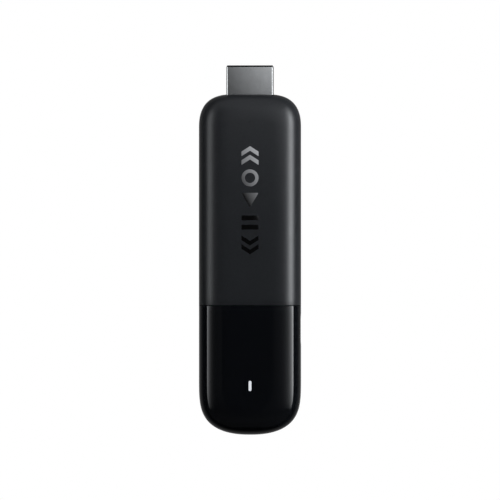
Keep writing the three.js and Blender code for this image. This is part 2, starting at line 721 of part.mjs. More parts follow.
function spreaderPad() {
  const side = PROCESSOR.width;
  return extrude(
    roundedRectangle(side, side, 0.4, 0, PROCESSOR_Z),
    "y",
    SPREADER_BACK + CONTACT_GAP,
    LID_TOP - CONTACT_GAP,
  );
}

// The spreader's outline, drawn smaller by a margin.
function spreaderOutline(margin) {
  const width = 2 * (HALF_WIDTH - EDGE_ROLL + SPREADER.overhang - margin);
  const centre = -SPREADER.top - SPREADER.length / 2;
  return roundedRectangle(width, SPREADER.length - 2 * margin, SPREADER.corner, 0, centre);
}

const heatSpreader = () => extrude(spreaderOutline(0), "y", SPREADER_FRONT, SPREADER_BACK);
const spreaderTape = () =>
  extrude(
    spreaderOutline(TAPE_MARGIN),
    "y",
    CONTACT_GAP - INNER_DEPTH,
    SPREADER_FRONT - CONTACT_GAP,
  );

// ---------------------------------------------------------------- rear of the board

const MEMORY_Z = -MEMORY.top - MEMORY.length / 2;
const POWER_Z = MEMORY_Z - MEMORY.length / 2 - POWER_CHIP.belowMemory - POWER_CHIP.length / 2;
const RADIO_Z = above(RADIO.up);
const RADIO_X = RADIO.width / 2 - BOARD_HALF_WIDTH + RADIO.edge;

function radioModule() {
  const outline = (inset) =>
    roundedRectangle(
      RADIO.width - 2 * inset,
      RADIO.length - 2 * inset,
      RADIO.corner,
      RADIO_X,
      RADIO_Z,
    );
  const base = onBoard(REAR, outline(0), RADIO.base);
  const can = onBoard(REAR, outline(RADIO.rim), RADIO.base + RADIO.can);
  return join(base, can);
}

const rearChip = (sizes, x, z) => chip(REAR, sizes, x, z);

// Distance between the centres of two neighbours side by side.
const beside = (one, other) => one.width / 2 + CHIP_GAP + other.width / 2;

// Power filter beside the socket's notch: an inductor, then a row of capacitors.
const FILTER_X = SOCKET_NOTCH - 2 * CHIP_GAP - INDUCTOR.width / 2;
const FILTER_CAPACITORS = [0, 1].map(
  (i) => FILTER_X - beside(INDUCTOR, CAPACITOR) - i * beside(CAPACITOR, CAPACITOR),
);

// ---------------------------------------------------------------- power socket

const socketSection = (inset) =>
  roundedRectangle(SOCKET.height - 2 * inset, SOCKET.width - 2 * inset, SOCKET.height, 0, SOCKET_Z);

function socketShell() {
  const tube = cut(
    extrude(socketSection(0), "x", SOCKET_BACK, SOCKET_MOUTH, 6),
    extrude(socketSection(SOCKET.wall), "x", -FAR, FAR, 6),
  );
  const tabs = [-1, 1].map((end) => {
    const near = SOCKET_Z + end * (SOCKET.width / 2 - SOCKET.wall / 2);
    const far = SOCKET_Z + end * (SOCKET.width / 2 + SOCKET_TAB.width);
    const x = SOCKET_MOUTH - SOCKET_TAB.inset;
    return block(
      [x - SOCKET_TAB.length, x],
      [-BOARD_FACE - SOLDER_GAP - SOCKET_TAB.thickness, -BOARD_FACE - SOLDER_GAP],
      span(near, far),
    );
  });
  return cut(join(tube, ...tabs), extrude(socketSection(SOCKET.wall), "x", -FAR, FAR, 6));
}

function socketTongue() {
  const root = SOCKET_BACK + SOCKET_TONGUE.root;
  const plug = extrude(socketSection(SOCKET.wall + CONTACT_GAP), "x", SOCKET_BACK, root, 6);
  const tongue = block(
    [root - 0.1, root + SOCKET_TONGUE.length],
    [-SOCKET_TONGUE.thickness / 2, SOCKET_TONGUE.thickness / 2],
    [SOCKET_Z - SOCKET_TONGUE.width / 2, SOCKET_Z + SOCKET_TONGUE.width / 2],
  );
  return join(plug, tongue);
}

// A row of contacts on one face of the tongue, held together by the bar at their root.
function socketContacts(side) {
  const face = side * (SOCKET_TONGUE.thickness / 2 + SOCKET_PIN.gap);
  const ends = span(face, face + side * SOCKET_PIN.thickness);
  const start = SOCKET_BACK + SOCKET_TONGUE.root + CONTACT_GAP;
  const row = (SOCKET_PINS - 1) * SOCKET_PIN.pitch + SOCKET_PIN.width;
  const strip = block([start, start + SOCKET_PIN.bar], ends, [SOCKET_Z - row / 2, SOCKET_Z + row / 2]);
  const teeth = Array.from({ length: SOCKET_PINS }, (_, i) => {
    const z = SOCKET_Z + (i - (SOCKET_PINS - 1) / 2) * SOCKET_PIN.pitch;
    return block(
      [start, start + SOCKET_PIN.length],
      ends,
      [z - SOCKET_PIN.width / 2, z + SOCKET_PIN.width / 2],
    );
  });
  return join(strip, ...teeth);
}

// ---------------------------------------------------------------- antennas

// A plate on two legs, with a foot soldered to the board and a slit that divides its arms.
function antenna(side) {
  const foot = BOARD_HALF_WIDTH - ANTENNA.inset;
  const plate = foot + ANTENNA.thickness;
  const z = above(ANTENNA.up);
  const low = -BOARD_FACE - SOLDER_GAP;
  const high = low - ANTENNA.height;
  const across = (a, b) => span(side * a, side * b);
  const sheet = block(across(foot, plate), [high, low], [z - ANTENNA.length / 2, z + ANTENNA.length / 2]);
  const under = block(
    across(foot - 1, plate + 1),
    [low - ANTENNA.height / 2, FAR],
    [z - ANTENNA.length / 2 + ANTENNA.leg, z + ANTENNA.length / 2 - 2 * ANTENNA.leg],
  );
  const slit = block(
    across(foot - 1, plate + 1),
    [high + 0.9, high + 1.3],
    [z - ANTENNA.length / 2 + ANTENNA.leg, z + ANTENNA.length],
  );
  const base = block(
    across(foot - ANTENNA.foot, foot + ANTENNA.thickness / 2),
    [low - ANTENNA.thickness, low],
    [z - ANTENNA.length / 2, z - ANTENNA.length / 2 + ANTENNA.leg],
  );
  return join(cut(sheet, under, slit), base);
}

// ---------------------------------------------------------------- materials and assembly

const finish = (color, roughness, metalness = 0) =>
  new THREE.MeshStandardMaterial({ color, roughness, metalness });
const FINISH = {
  mattePlastic: finish(0x232425, 0.55),
  glossPlastic: finish(0x050607, 0.08),
  lens: finish(0xf4f6f8, 0.3),
  foam: finish(0x111111, 0.95),
  steel: finish(0xa8abae, 0.3, 1),
  gold: finish(0xd8ae55, 0.25, 1),
  insulator: finish(0x0d0d0e, 0.5),
  board: finish(0x12402b, 0.5),
  mould: finish(0x17181a, 0.6),
  can: finish(0xb9bcbf, 0.35, 1),
  pad: finish(0x8d99a8, 0.9),
  aluminium: finish(0xc4c7ca, 0.4, 1),
  ceramic: finish(0xa98f70, 0.5),
};

const stick = new THREE.Group();
function add(name, manifold, material) {
  const { vertProperties, triVerts, numProp, numVert } = manifold.getMesh();
  const position = new Float32Array(numVert * 3);
  for (let i = 0; i < numVert; i++) {
    position.set(vertProperties.subarray(i * numProp, i * numProp + 3), i * 3);
  }
  const geometry = new THREE.BufferGeometry()
    .setAttribute("position", new THREE.BufferAttribute(position, 3))
    .setIndex(new THREE.BufferAttribute(triVerts, 1));
  geometry.computeVertexNormals();
  const mesh = new THREE.Mesh(geometry, material);
  mesh.name = name;
  stick.add(mesh);
}

add("front_cover", frontCover(), FINISH.mattePlastic);
add("gloss_cover", glossCover(), FINISH.glossPlastic);
add("rear_cover", rearCover(), FINISH.mattePlastic);
add("light_pipe", lightPipe(), FINISH.lens);
add("light_gasket", lightGasket(), FINISH.foam);
add("status_led", statusLed(), FINISH.lens);

add("hdmi_shell", plugShell(), FINISH.steel);
add("hdmi_insulator", plugInsulator(), FINISH.insulator);
pins.forEach((pin, i) => {
  add(`hdmi_contact_${String(i + 1).padStart(2, "0")}`, plugPin(pin), FINISH.gold);
});

add("main_board", mainBoard(), FINISH.board);
SCREWS.forEach((screw) => add(screw.name, boardScrew(screw), FINISH.steel));

add("shield_frame", shieldFrame(), FINISH.can);
add("shield_lid", shieldLid(), FINISH.can);
add("processor", processor(), FINISH.mould);
add("flash_chip", flashChip(), FINISH.mould);
add("processor_thermal_pad", processorPad(), FINISH.pad);
add("spreader_thermal_pad", spreaderPad(), FINISH.pad);
add("heat_spreader", heatSpreader(), FINISH.aluminium);
add("spreader_tape", spreaderTape(), FINISH.foam);

add("memory_chip", rearChip(MEMORY, 0, MEMORY_Z), FINISH.mould);
add("power_controller", rearChip(POWER_CHIP, 0, POWER_Z), FINISH.mould);
add("radio_module", radioModule(), FINISH.can);
add("crystal", rearChip(CRYSTAL, -beside(MEMORY, CRYSTAL), MEMORY_Z), FINISH.can);
add("power_inductor_1", rearChip(INDUCTOR, -beside(POWER_CHIP, INDUCTOR), POWER_Z), FINISH.mould);
add("power_inductor_2", rearChip(INDUCTOR, beside(POWER_CHIP, INDUCTOR), POWER_Z), FINISH.mould);
add("power_inductor_3", rearChip(INDUCTOR, FILTER_X, SOCKET_Z), FINISH.mould);
for (const [i, x] of FILTER_CAPACITORS.entries()) {
  add(`bulk_capacitor_${i + 1}`, rearChip(CAPACITOR, x, SOCKET_Z), FINISH.ceramic);
}
add("bulk_capacitor_3", rearChip(CAPACITOR, beside(MEMORY, CAPACITOR), MEMORY_Z), FINISH.ceramic);

add("usb_shell", socketShell(), FINISH.steel);
add("usb_insulator", socketTongue(), FINISH.insulator);
add("usb_contacts_front", socketContacts(FRONT), FINISH.gold);
add("usb_contacts_rear", socketContacts(REAR), FINISH.gold);

add("antenna_left", antenna(-1), FINISH.gold);
add("antenna_right", antenna(1), FINISH.gold);

export default stick;
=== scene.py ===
"""Looks of the video stick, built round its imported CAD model.

Everything is in metres, in the CAD frame: +Z runs up along the plug, -Y is the front face and +X is the
right side seen from the front. The origin is on the plug's axis, at the top end of the housing.
"""

import json
import math

import bmesh
import bpy
import numpy as np
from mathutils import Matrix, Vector

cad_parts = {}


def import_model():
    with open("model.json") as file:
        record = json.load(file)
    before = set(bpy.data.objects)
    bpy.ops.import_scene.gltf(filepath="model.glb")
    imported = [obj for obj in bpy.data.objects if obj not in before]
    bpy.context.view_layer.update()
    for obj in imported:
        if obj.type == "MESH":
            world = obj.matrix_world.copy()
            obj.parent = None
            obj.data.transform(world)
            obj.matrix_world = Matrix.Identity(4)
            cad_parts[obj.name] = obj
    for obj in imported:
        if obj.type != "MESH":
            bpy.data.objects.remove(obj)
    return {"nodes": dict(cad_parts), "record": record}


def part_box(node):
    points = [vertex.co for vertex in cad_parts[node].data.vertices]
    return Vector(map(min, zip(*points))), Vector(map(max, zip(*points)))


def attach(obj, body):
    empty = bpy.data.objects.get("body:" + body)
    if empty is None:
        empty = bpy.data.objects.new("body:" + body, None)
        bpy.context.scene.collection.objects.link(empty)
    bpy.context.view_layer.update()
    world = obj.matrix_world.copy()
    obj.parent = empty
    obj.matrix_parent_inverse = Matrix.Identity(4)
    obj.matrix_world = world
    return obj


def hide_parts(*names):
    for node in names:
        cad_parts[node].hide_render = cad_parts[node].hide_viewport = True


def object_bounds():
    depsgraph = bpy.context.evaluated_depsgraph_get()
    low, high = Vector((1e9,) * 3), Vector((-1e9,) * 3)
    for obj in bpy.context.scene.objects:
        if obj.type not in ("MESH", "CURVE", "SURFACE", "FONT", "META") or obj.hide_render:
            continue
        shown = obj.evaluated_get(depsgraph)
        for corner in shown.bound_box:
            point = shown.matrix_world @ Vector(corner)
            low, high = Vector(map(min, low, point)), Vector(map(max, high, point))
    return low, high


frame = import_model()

CAD_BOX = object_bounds()
MM = 0.001
ROOT = "root"

# ---------------------------------------------------------------- sizes

# Housing form. The same formula shapes the CAD solids, in coarser facets.
HALF_WIDTH = 15.0 * MM
HALF_DEPTH = CAD_BOX[1][1]
BODY_LENGTH = 100.2 * MM
EDGE_ROLL = 8.5 * MM
WALL = 1.4 * MM
SEAM, SEAM_INSIDE = 0.15 * MM, 0.015 * MM
GLOSS_LENGTH = 38.0 * MM
TOP_END = {"reach": 9.8 * MM, "across": 4.1, "along": 2.34}
BOTTOM_END = {"reach": 17.2 * MM, "across": 2.32, "along": 3.9}
EDGE_ACROSS, EDGE_DEEP = 2.4, 2.5
SEAM_Z = GLOSS_LENGTH - BODY_LENGTH
SEAM_FILLET = 0.06 * MM
SEAM_DEPTH = 0.3 * MM

# Fineness of the housing's mesh.
TOP_ROWS, SIDE_ROWS, BOTTOM_ROWS = 36, 40, 52
EDGE_COLUMNS = 26
FLAT_FRACTIONS = (1.0, 0.97, 0.85, 0.5, 0.0)

# Video plug.
PLUG_LOW, PLUG_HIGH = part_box("hdmi_shell")
PLUG_WIDTH, PLUG_HEIGHT, PLUG_WALL = 13.9 * MM, 4.45 * MM, 0.35 * MM
PLUG_CUT_WIDTH, PLUG_CUT_HEIGHT = 1.35 * MM, 1.5 * MM
PLUG_TIP, PLUG_TAIL = PLUG_HIGH.z, 6.4 * MM
PLUG_FILLETS = {"front": 0.6 * MM, "shoulder": 0.25 * MM}
PLUG_RIM = {"height": 0.6 * MM, "inset": 0.3 * MM}
PLUG_RIM_CURVE = ((0.0, 1.0), (0.08, 0.72), (1.0, 0.0))
PLUG_WINDOW = {"width": 1.8 * MM, "height": 2.4 * MM, "x": 3.5 * MM, "below_tip": 5.2 * MM}
PLUG_FLANGE = {"low": -4.5 * MM, "high": -4.0 * MM, "corner": 1.0 * MM}
PLUG_TAB = {"width": 1.4 * MM, "thickness": 0.35 * MM, "corner": 0.08 * MM}
PLUG_TAB_ENDS, PLUG_TAB_Y = (-9.9 * MM, -4.2 * MM), 0.725 * MM
# How far from a bend an extra line of points keeps the shading of the flat beside it flat.
PLUG_GUARDS = {"corner": 0.06 * MM, "edge": 0.08 * MM}

# Power socket and status light, placed by their CAD solids.
SOCKET_LOW, SOCKET_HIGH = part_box("usb_shell")
SOCKET_WIDTH, SOCKET_HEIGHT, SOCKET_WALL = 8.94 * MM, SOCKET_HIGH.y - SOCKET_LOW.y, 0.3 * MM
SOCKET_Z = (SOCKET_LOW.z + SOCKET_HIGH.z) / 2
LIGHT_LOW, LIGHT_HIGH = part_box("light_pipe")
LIGHT_Z = (LIGHT_LOW.z + LIGHT_HIGH.z) / 2
LIGHT_WIDTH, LIGHT_LENGTH = 0.74 * MM, 2.9 * MM
# The lens's domed front: in millimetres, insets and how far each lies behind the housing's face.
LIGHT_DOME = ((0.16, -0.035), (0.08, -0.03), (0.03, -0.01), (0.0, 0.02))
# Width, length and corner radius of the lens's flange and of the guide behind it.
LIGHT_FLANGE, LIGHT_GUIDE = (3.4 * MM, 6 * MM, 0.5 * MM), (1.8 * MM, 3.8 * MM, 0.3 * MM)
LIGHT_FLANGE_THICKNESS, LIGHT_CLEARANCE = 0.75 * MM, 0.05 * MM
SOCKET_TAB = {"width": 2 * MM, "thickness": 0.3 * MM, "corner": 0.08 * MM}
SOCKET_TAB_X, SOCKET_TAB_Y = SOCKET_HIGH.x - 4.5 * MM, -0.7 * MM
SOCKET_TAB_OVERLAP, SOCKET_TAB_LENGTH = 0.12 * MM, 1.2 * MM
OPENING_GAP, LIGHT_GAP = 0.2 * MM, 0.04 * MM

# ---------------------------------------------------------------- mesh helpers


def new_object(name, mesh):
    piece = bpy.data.objects.new(name, mesh)
    bpy.context.scene.collection.objects.link(piece)
    return piece


def mesh_from(name, points, faces):
    """A smoothly shaded mesh object with doubled points joined and its faces turned outwards."""
    bm = bmesh.new()
    verts = [bm.verts.new(p) for p in points]
    for face in faces:
        bm.faces.new([verts[i] for i in face])
    bmesh.ops.remove_doubles(bm, verts=bm.verts, dist=1e-7)
    bmesh.ops.recalc_face_normals(bm, faces=bm.faces)
    mesh = bpy.data.meshes.new(name)
    bm.to_mesh(mesh)
    bm.free()
    piece = new_object(name, mesh)
    smooth(piece)
    return piece


def smooth(piece, angle=35):
    """Smooth shading, with edges over the angle kept sharp."""
    piece.data.shade_smooth()
    piece.data.set_sharp_from_angle(angle=math.radians(angle))


def apply_modifiers(piece):
    graph = bpy.context.evaluated_depsgraph_get()
    mesh = bpy.data.meshes.new_from_object(piece.evaluated_get(graph))
    piece.modifiers.clear()
    piece.data = mesh


def cut(piece, cutter, operation="DIFFERENCE"):
    modifier = piece.modifiers.new("cut", "BOOLEAN")
    modifier.operation = operation
    modifier.object = cutter
    modifier.solver = "EXACT"
    apply_modifiers(piece)
    bpy.data.objects.remove(cutter)


def fillet(piece, width, segments, angle):
    modifier = piece.modifiers.new("fillet", "BEVEL")
    modifier.width = width
    modifier.segments = segments
    modifier.limit_method = "ANGLE"
    modifier.angle_limit = math.radians(angle)
    apply_modifiers(piece)


def loft(name, sections, ring=False):
    """A solid through loops of the same number of points. A ring joins its last loop to its first."""
    count = len(sections[0])
    points = [p for section in sections for p in section]
    faces = []
    for i in range(len(sections) - (0 if ring else 1)):
        here, there = i * count, (i + 1) % len(sections) * count
        for k in range(count):
            after = (k + 1) % count
            faces.append((here + k, here + after, there + after, there + k))
    if not ring:
        faces.append(range(count))
        faces.append(range(len(points) - count, len(points)))
    return mesh_from(name, points, faces)


def filleted(corners, radii, steps=8, guard=0.0):
    """The loop round a convex polygon, with an arc of its own radius at each corner. A guard adds a
    point that far before and after each arc, which keeps the shading of the straight sides flat."""
    points = [Vector(corner) for corner in corners]
    loop = []
    for i, (here, radius) in enumerate(zip(points, radii)):
        to_last = (points[i - 1] - here).normalized()
        to_next = (points[(i + 1) % len(points)] - here).normalized()
        half = to_last.angle(to_next) / 2
        centre = here + (to_last + to_next).normalized() * (radius / math.sin(half))
        reach = radius / math.tan(half)
        start, end = here + to_last * reach - centre, here + to_next * reach - centre
        turn = start.angle(end)
        if guard:
            loop.append(centre + start + to_last * guard)
        for k in range(steps + 1):
            t = k / steps
            arc = (start * math.sin((1 - t) * turn) + end * math.sin(t * turn)) / math.sin(turn)
            loop.append(centre + arc)
        if guard:
            loop.append(centre + end + to_next * guard)
    return loop


def rounded_rectangle(width, height, radius, steps=8):
    w, h = width / 2, height / 2
    corners = ((w, -h), (w, h), (-w, h), (-w, -h))
    return filleted(corners, [min(radius, 0.999 * w, 0.999 * h)] * 4, steps)


def along_x(loop, x, z):
    return [(x, p.x, z + p.y) for p in loop]


def along_y(loop, y, x=0.0, z=0.0):
    return [(x + p.x, y, z + p.y) for p in loop]


def along_z(loop, z):
    return [(p.x, p.y, z) for p in loop]


# ---------------------------------------------------------------- housing


def end_point(end, angle, inset):
    """A point on the right half of the outline, drawn a given inset inside it: x, and height z."""
    x = (HALF_WIDTH - inset) * max(0.0, math.cos(angle)) ** (2 / end["across"])
    out = (end["reach"] - inset) * max(0.0, math.sin(angle)) ** (2 / end["along"])
    if end is TOP_END:
        return x, out - end["reach"]
    return x, end["reach"] - BODY_LENGTH - out


def even_angles(end, steps):
    """Angles that divide one end's quarter of the outline into equal lengths, from side to tip."""
    angles = np.linspace(0, math.pi / 2, 4001)
    outline = np.array([end_point(end, a, 0) for a in angles])
    lengths = np.concatenate([[0], np.cumsum(np.hypot(*np.diff(outline, axis=0).T))])
    return np.interp(np.linspace(0, lengths[-1], steps + 1), lengths, angles)


def outline_rows(top, bottom):
    """Rows from one height to another, each (end, angle, height). Straight rows have their own height;
    for the rounded ends it is None, because the angle gives it."""
    rows = []
    side_top, side_bottom = -TOP_END["reach"], BOTTOM_END["reach"] - BODY_LENGTH
    if top > side_top:
        rows += [(TOP_END, a, None) for a in even_angles(TOP_END, TOP_ROWS)[::-1]]
    low, high = max(bottom, side_bottom), min(top, side_top)
    share = (high - low) / (side_top - side_bottom)
    for z in np.linspace(high, low, max(3, round(SIDE_ROWS * share)))[0 if top <= side_top else 1 :]:
        rows.append((TOP_END, 0.0, z))
    if bottom < side_bottom:
        rows += [(BOTTOM_END, a, None) for a in even_angles(BOTTOM_END, BOTTOM_ROWS)[1:]]
    return rows


def skin_grid(top, bottom, side, inset):
    """The skin between two heights, front (side -1) or rear (side 1), in rows from left to right. The
    outer skin ends half a seam short of the parting plane. Inside it, the covers nearly meet."""
    depth = HALF_DEPTH - inset
    gap = SEAM_INSIDE if inset else SEAM
    last = math.acos((gap / 2 / depth) ** (EDGE_DEEP / 2))
    rings = [
        (math.sin(a) ** (2 / EDGE_ACROSS), side * depth * math.cos(a) ** (2 / EDGE_DEEP))
        for a in np.linspace(last, 0, EDGE_COLUMNS + 1)
    ]
    grid = []
    for end, angle, z in outline_rows(top, bottom):
        core, skin = (Vector(end_point(end, angle, i)) for i in (EDGE_ROLL, inset))
        if z is not None:
            core.y = skin.y = z
        right = [(*core.lerp(skin, out), y) for out, y in rings]
        flat = [(f * core.x, core.y, side * depth) for f in FLAT_FRACTIONS[1:]]
        half = [(x, y, z) for x, z, y in right] + [(x, y, z) for x, z, y in flat]
        grid.append([(-x, y, z) for x, y, z in half[:-1]] + half[::-1])
    return grid


def cover(name, top, bottom, side):
    """A hollow cover: the outer skin, the skin a wall inside it, and the edges that join them. Between
    the two, the edge has a line at the groove's depth, where the covers nearly meet."""
    grids = [skin_grid(top, bottom, side, inset) for inset in (0, SEAM_DEPTH, WALL)]
    rows, columns = len(grids[0]), len(grids[0][0])
    cut_rows = [row for row, is_cut in ((0, top < 0), (rows - 1, bottom > -BODY_LENGTH)) if is_cut]
    bm = bmesh.new()
    verts = {}

    def vert(layer, r, c):
        """The vertex at a grid place. A rounded end's last row folds onto itself."""
        if r in (0, rows - 1) and r not in cut_rows:
            c = min(c, columns - 1 - c, EDGE_COLUMNS)
        if (layer, r, c) not in verts:
            verts[layer, r, c] = bm.verts.new(grids[layer][r][c])
        return verts[layer, r, c]

    def face(*places):
        corners = list(dict.fromkeys(vert(*place) for place in places))
        if len(corners) > 2:
            bm.faces.new(corners)

    for r in range(rows - 1):
        for c in range(columns - 1):
            face((0, r, c), (0, r, c + 1), (0, r + 1, c + 1), (0, r + 1, c))
            face((2, r, c), (2, r + 1, c), (2, r + 1, c + 1), (2, r, c + 1))
        for c in (0, columns - 1):
            for layer in (0, 1):
                face((layer, r, c), (layer, r + 1, c), (layer + 1, r + 1, c), (layer + 1, r, c))
    for r in cut_rows:
        for c in range(columns - 1):
            left = [(1, r, 0)] if c == 0 else []
            right = [(1, r, c + 1)] if c == columns - 2 else []
            face((0, r, c), (0, r, c + 1), *right, (2, r, c + 1), (2, r, c), *left)
    bmesh.ops.recalc_face_normals(bm, faces=bm.faces)
    mesh = bpy.data.meshes.new(name)
    bm.to_mesh(mesh)
    bm.free()
    piece = new_object(name, mesh)
    fillet(piece, SEAM_FILLET, segments=3, angle=50)
    return piece


def plug_cutter():
    """A block in the plug's outline, from inside the housing to above its top."""
    loop = plug_outline(OPENING_GAP)
    return loft("cutter", [along_z(loop, z) for z in (-8 * MM, 2 * MM)])


def socket_cutter():
    """A pill-shaped mouth with a small flare where it meets the housing's side."""
    sections = []
    for x, grow in ((6 * MM, 0), (14.8 * MM, 0), (15.2 * MM, 0.15 * MM), (17 * MM, 0.15 * MM)):
        width = SOCKET_HEIGHT + 2 * (OPENING_GAP + grow)
        loop = rounded_rectangle(width, SOCKET_WIDTH + 2 * (OPENING_GAP + grow), SOCKET_HEIGHT, 16)
        sections.append(along_x(loop, x, SOCKET_Z))
    return loft("cutter", sections)


def light_cutter():
    """A pill that goes through the front wall."""
    loop = rounded_rectangle(LIGHT_WIDTH + 2 * LIGHT_GAP, LIGHT_LENGTH + 2 * LIGHT_GAP, LIGHT_WIDTH, 12)
    return loft("cutter", [along_y(loop, y, z=LIGHT_Z) for y in (-9 * MM, -5 * MM)])


def housing():
    upper = cover("upper_cover", 0, SEAM_Z + SEAM / 2, -1)
    cut(upper, plug_cutter())
    lower = cover("lower_cover", SEAM_Z - SEAM / 2, -BODY_LENGTH, -1)
    cut(lower, socket_cutter())
    cut(lower, light_cutter())
    back = cover("back_cover", 0, -BODY_LENGTH, 1)
    cut(back, plug_cutter())
    cut(back, socket_cutter())
    for piece in (upper, lower, back):
        smooth(piece, 40)
    return upper, lower, back


# ---------------------------------------------------------------- plug, light, socket


def plug_outline(offset):
    """The plug's section with every side moved out by an offset: a box whose rear corners are cut."""
    slope = math.atan2(PLUG_CUT_HEIGHT, PLUG_CUT_WIDTH)
    w, h = PLUG_WIDTH / 2 + offset, PLUG_HEIGHT / 2 + offset
    rear = PLUG_WIDTH / 2 - PLUG_CUT_WIDTH + offset * math.tan(slope / 2)
    shoulder = PLUG_HEIGHT / 2 - PLUG_CUT_HEIGHT + offset * math.tan(math.pi / 4 - slope / 2)
    corners = ((-w, -h), (w, -h), (w, shoulder), (rear, h), (-rear, h), (-w, shoulder))
    front, other = (max(0.1 * MM, PLUG_FILLETS[k] + offset) for k in ("front", "shoulder"))
    radii = (front, front, other, other, other, other)
    return filleted(corners, radii, guard=PLUG_GUARDS["corner"])


def plug_sleeve():
    """The plug's sheet-metal sleeve: a rim that turns in, latch windows, a flange and solder tabs."""
    edge, inset, height = PLUG_GUARDS["edge"], PLUG_RIM["inset"], PLUG_RIM["height"]
    outer = [(0, -PLUG_TAIL), (0, 0), (0, PLUG_TIP - height - edge)]
    rim = [(-inset * share, PLUG_TIP - height * drop) for share, drop in PLUG_RIM_CURVE]
    inner = [(-PLUG_WALL, PLUG_TIP - edge), (-PLUG_WALL, -PLUG_TAIL)]
    loops = [along_z(plug_outline(offset), z) for offset, z in outer + rim + inner]
    sleeve = loft("plug_sleeve", loops, ring=True)
    for side in (-1, 1):
        loop = rounded_rectangle(PLUG_WINDOW["width"], PLUG_WINDOW["height"], 0.3 * MM, 5)
        place = {"x": side * PLUG_WINDOW["x"], "z": PLUG_TIP - PLUG_WINDOW["below_tip"]}
        cut(sleeve, loft("cutter", [along_y(loop, y, **place) for y in (1.6 * MM, 3 * MM)]))
    size = PLUG_HIGH - PLUG_LOW
    flange_loop = rounded_rectangle(size.x, size.y, PLUG_FLANGE["corner"])
    faces = (PLUG_FLANGE["low"], PLUG_FLANGE["high"])
    flange = loft("flange", [along_z(flange_loop, z) for z in faces])
    cut(flange, loft("cutter", [along_z(plug_outline(-0.1 * MM), z) for z in (-6 * MM, -3 * MM)]))
    tab_loop = rounded_rectangle(PLUG_TAB["width"], PLUG_TAB["thickness"], PLUG_TAB["corner"], 3)
    for side in (-1, 1):
        for y in (-PLUG_TAB_Y, PLUG_TAB_Y):
            x = side * (PLUG_HIGH.x - PLUG_TAB["width"] / 2)
            tab = [[(p.x + x, p.y + y, z) for p in tab_loop] for z in PLUG_TAB_ENDS]
            cut(flange, loft("tab", tab), "UNION")
    cut(sleeve, flange, "UNION")
    smooth(sleeve, 25)
    return sleeve


def light_lens():
    """The status light's lens: a slightly domed pill, and behind it a flange and a guide."""
    near = WALL - HALF_DEPTH + LIGHT_CLEARANCE
    far = near + LIGHT_FLANGE_THICKNESS
    steps = []
    for inset, depth in LIGHT_DOME:
        width, length = LIGHT_WIDTH - 2 * inset * MM, LIGHT_LENGTH - 2 * inset * MM
        steps.append((width, length, LIGHT_WIDTH, depth * MM - HALF_DEPTH))
    steps.append((LIGHT_WIDTH, LIGHT_LENGTH, LIGHT_WIDTH, near))
    steps += [(*LIGHT_FLANGE, near), (*LIGHT_FLANGE, far)]
    steps += [(*LIGHT_GUIDE, far), (*LIGHT_GUIDE, LIGHT_HIGH.y)]
    sections = []
    for width, length, radius, y in steps:
        sections.append(along_y(rounded_rectangle(width, length, radius, 12), y, z=LIGHT_Z))
    return loft("light_lens", sections)


def socket_sleeve():
    """The power socket's sheet-metal sleeve, with a rounded rim and two solder tabs."""

    def pill(offset):
        height, width = SOCKET_HEIGHT + 2 * offset, SOCKET_WIDTH + 2 * offset
        return rounded_rectangle(height, width, SOCKET_HEIGHT, 16)

    mouth, back = SOCKET_HIGH.x, SOCKET_LOW.x
    rim = 0.15 * MM
    stations = [(0, back), (0, mouth - rim)]
    for i in range(1, 9):
        a = math.pi * i / 8
        stations.append((-rim * (1 - math.cos(a)), mouth - rim + rim * math.sin(a)))
    stations.append((-SOCKET_WALL, back))
    sleeve = loft("socket_sleeve", [along_x(pill(o), x, SOCKET_Z) for o, x in stations], ring=True)
    tab_loop = rounded_rectangle(SOCKET_TAB["width"], SOCKET_TAB["thickness"], SOCKET_TAB["corner"], 3)
    for side in (-1, 1):
        near = SOCKET_Z + side * (SOCKET_WIDTH / 2 - SOCKET_TAB_OVERLAP)
        far = SOCKET_Z + side * (SOCKET_WIDTH / 2 + SOCKET_TAB_LENGTH)
        tab = [[(SOCKET_TAB_X + p.x, SOCKET_TAB_Y + p.y, z) for p in tab_loop] for z in (near, far)]
        cut(sleeve, loft("tab", tab), "UNION")
    smooth(sleeve, 25)
    return sleeve


# ---------------------------------------------------------------- printed mark

MARK_WIDTH = 5.0 * MM
MARK_TOP = -15.7 * MM
MARK_PITCH = 6.55 * MM
STROKE = 1.0 * MM
CHEVRON = {"rise": 0.8 * MM, "half_stroke": 0.68 * MM, "offset": 1.28 * MM}
PAUSE_BAR = {"height": 1.4 * MM, "offset": 1.35 * MM}
PLAY_HALF_HEIGHT = 0.43 * MARK_WIDTH
FOIL_FRONT, FOIL_BACK = -HALF_DEPTH - 0.02 * MM, -HALF_DEPTH + 0.03 * MM
FOIL_CORNER = 0.12 * MM


def foil_prism(corners):
    """A thin flat shape on the front face. Its corners are (x, z)."""
    loop = filleted(corners, [FOIL_CORNER] * len(corners), 4)
    return loft("foil", [along_y(loop, y) for y in (FOIL_FRONT, FOIL_BACK)])


def bar(z, height):
    w, h = MARK_WIDTH / 2, height / 2
    return foil_prism(((-w, z - h), (w, z - h), (w, z + h), (-w, z + h)))


def chevron(z, up):
    """A thick V that points up or down."""
    h, w, t = CHEVRON["rise"] * up, MARK_WIDTH / 2, CHEVRON["half_stroke"]
    loop = [(0, h + t), (w, t - h), (w, -h - t), (0, h - t), (-w, -h - t), (-w, t - h)]
    return loft("foil", [[(x, y, z + up_by) for x, up_by in loop] for y in (FOIL_FRONT, FOIL_BACK)])


def ring(z, outer, inner):
    steps = 48
    loops = []
    for radius, y in ((outer, FOIL_FRONT), (outer, FOIL_BACK), (inner, FOIL_BACK), (inner, FOIL_FRONT)):
        angles = [2 * math.pi * i / steps for i in range(steps)]
        loops.append([(radius * math.cos(a), y, z + radius * math.sin(a)) for a in angles])
    return loft("foil", loops, ring=True)


